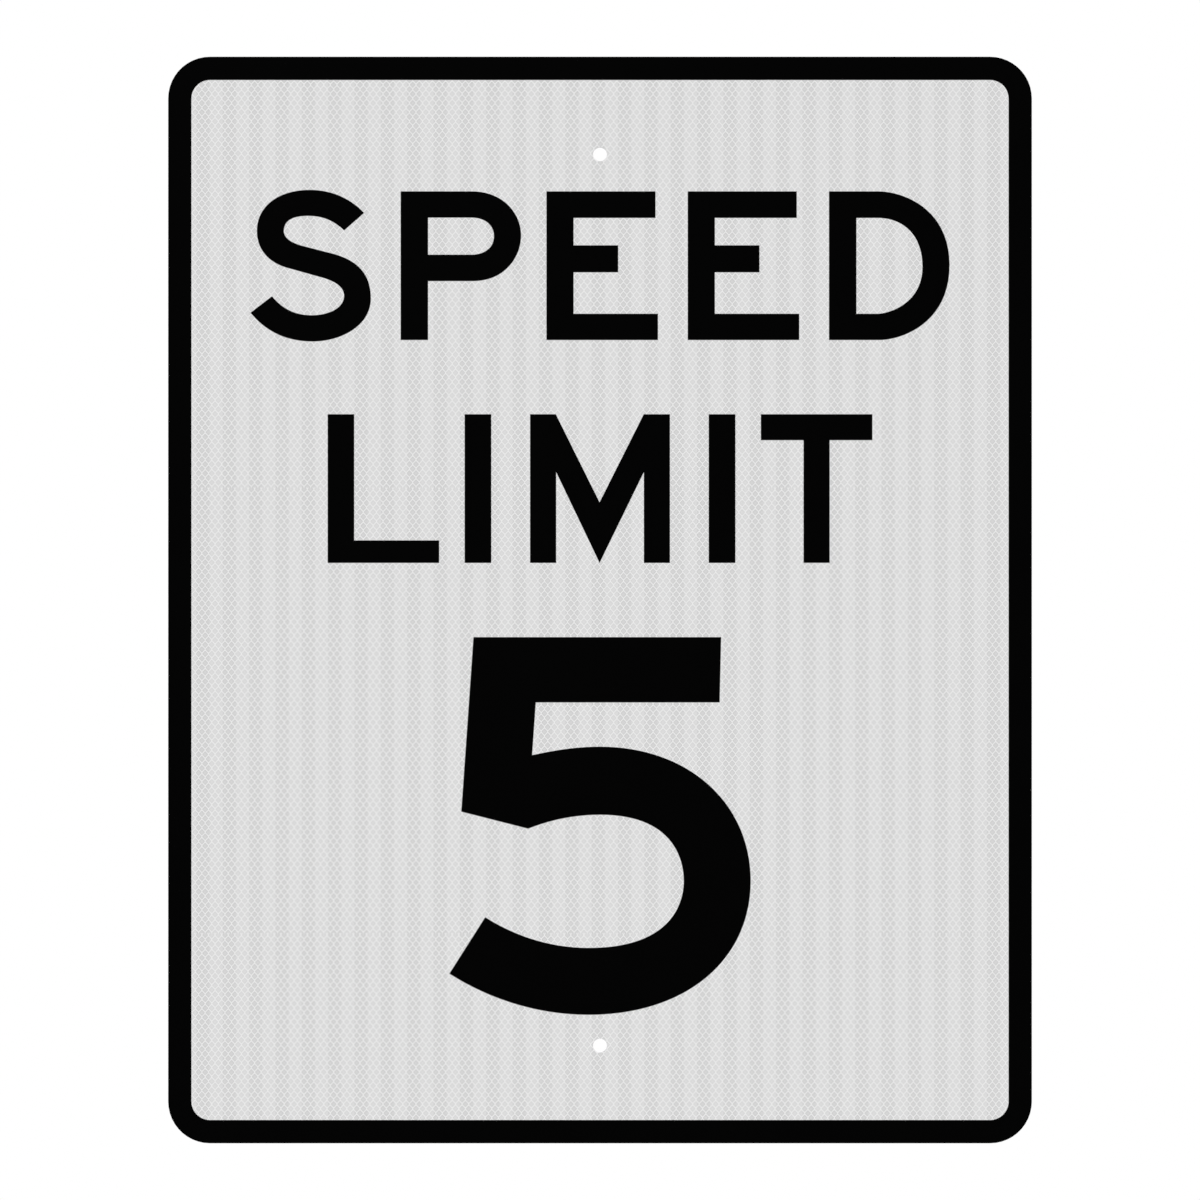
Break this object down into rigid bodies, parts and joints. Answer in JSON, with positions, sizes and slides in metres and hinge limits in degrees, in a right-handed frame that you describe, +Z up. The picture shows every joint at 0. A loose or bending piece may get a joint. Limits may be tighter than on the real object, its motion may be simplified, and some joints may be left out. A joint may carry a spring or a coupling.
{
  "type": "speed limit sign",
  "caption": "Upright flat road sign with rounded corners: black border, words and numeral in film on white reflective sheeting, on a punched metal blank.",
  "frame": {"origin": "on the back face of the blank, halfway between the two bolt holes, which is also the middle of the panel", "axes": "+Z up the sign, +X to the reader's right, -Y out of the printed face, +Y out of the back towards the post"},
  "size_m": [0.5906, 0.0026, 0.743],
  "materials": {
    "blank_metal": "dull mill finish with a faint rolling grain",
    "white_sheeting": "smooth clear face over a fine lattice of seal lines",
    "black_film": "smooth even black"
  },
  "bodies": {
    "root": {"sign_blank": "blank_metal", "reflective_sheeting": "white_sheeting", "border_film": "black_film", "numeral_film": "black_film"}
  },
  "joints": []
}
